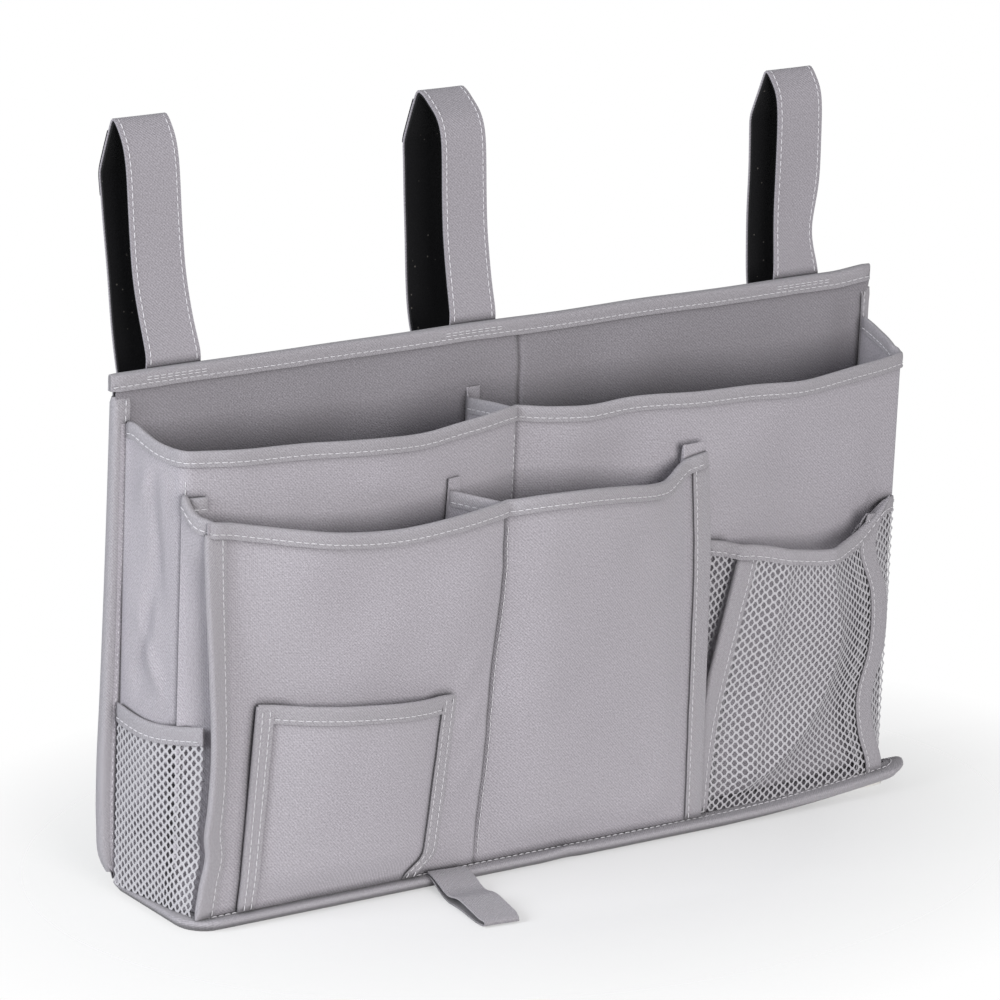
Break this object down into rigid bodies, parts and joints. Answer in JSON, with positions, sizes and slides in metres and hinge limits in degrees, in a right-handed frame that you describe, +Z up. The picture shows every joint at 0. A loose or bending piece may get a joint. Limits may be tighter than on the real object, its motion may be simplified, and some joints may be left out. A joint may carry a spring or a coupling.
{
  "type": "bedside caddy",
  "caption": "Sewn cloth bedside organizer: boarded back and base, tiered cloth pockets, net pockets, hook-and-loop hanging straps and a base pull tab.",
  "frame": {"origin": "middle of the base's underside, on the surface that the caddy stands on", "axes": "+X along the caddy's width to the right as seen from the front, +Y towards the back panel, +Z up"},
  "size_m": [0.5, 0.2007, 0.4157],
  "materials": {
    "cloth": "woven oxford cloth, grey with a slight lavender tint",
    "binding_tape": "ribbed grey binding tape with a light stitch row",
    "net": "pale grey knitted diamond net",
    "board": "plain stiffener board",
    "hook_and_loop": "black hook and loop pile"
  },
  "bodies": {
    "caddy": {"base_cover": "cloth", "base_board": "board", "base_lining": "cloth", "base_binding": "binding_tape", "back_outer": "cloth", "back_lining": "cloth", "back_board_left": "board", "back_board_right": "board", "back_top_binding": "binding_tape", "back_left_binding": "binding_tape", "back_right_binding": "binding_tape", "rear_pocket_panel": "cloth", "rear_left_gusset": "cloth", "rear_right_gusset": "cloth", "rear_mouth_binding": "binding_tape", "rear_divider": "cloth", "rear_divider_binding": "binding_tape", "front_pocket_panel": "cloth", "front_left_gusset": "cloth", "front_left_gusset_binding": "binding_tape", "front_right_gusset": "cloth", "front_divider": "cloth", "front_divider_binding": "binding_tape", "front_mouth_binding": "binding_tape", "front_left_flange_binding": "binding_tape", "front_right_flange_binding": "binding_tape", "patch_pocket_panel": "cloth", "patch_pocket_mouth_binding": "binding_tape", "patch_pocket_left_tape": "binding_tape", "patch_pocket_right_tape": "binding_tape", "side_net": "net", "side_net_binding": "binding_tape", "mesh_front_net": "net", "mesh_left_gusset": "net", "mesh_left_gusset_binding": "binding_tape", "mesh_left_flange_binding": "binding_tape", "mesh_right_gusset": "net", "mesh_right_gusset_binding": "binding_tape", "mesh_right_flange_binding": "binding_tape", "mesh_mouth_elastic": "binding_tape", "left_strap_riser": "cloth", "left_strap_riser_tape": "hook_and_loop", "left_strap_patch": "hook_and_loop", "middle_strap_riser": "cloth", "middle_strap_riser_tape": "hook_and_loop", "middle_strap_patch": "hook_and_loop", "right_strap_riser": "cloth", "right_strap_riser_tape": "hook_and_loop", "right_strap_patch": "hook_and_loop"},
    "left_tail": {"left_strap_tail": "cloth", "left_strap_tail_tape": "hook_and_loop"},
    "middle_tail": {"middle_strap_tail": "cloth", "middle_strap_tail_tape": "hook_and_loop"},
    "right_tail": {"right_strap_tail": "cloth", "right_strap_tail_tape": "hook_and_loop"},
    "tab": {"pull_tab": "binding_tape"}
  },
  "joints": [
    {"name": "left_strap_peel", "type": "hinge", "parent": "caddy", "child": "left_tail", "pos_m": [-0.212, 0.083, 0.416], "axis": [1, 0, 0], "range_deg": [0, 150]},
    {"name": "middle_strap_peel", "type": "hinge", "parent": "caddy", "child": "middle_tail", "pos_m": [-0.02, 0.083, 0.412], "axis": [1, 0, 0], "range_deg": [0, 150]},
    {"name": "right_strap_peel", "type": "hinge", "parent": "caddy", "child": "right_tail", "pos_m": [0.2, 0.061, 0.407], "axis": [1, 0, 0], "range_deg": [0, 150]},
    {"name": "pull_tab_lift", "type": "hinge", "parent": "caddy", "child": "tab", "pos_m": [-0.0795, -0.038, 0.0087], "axis": [-0.9936, 0.1132, 0], "range_deg": [0, 75]}
  ]
}
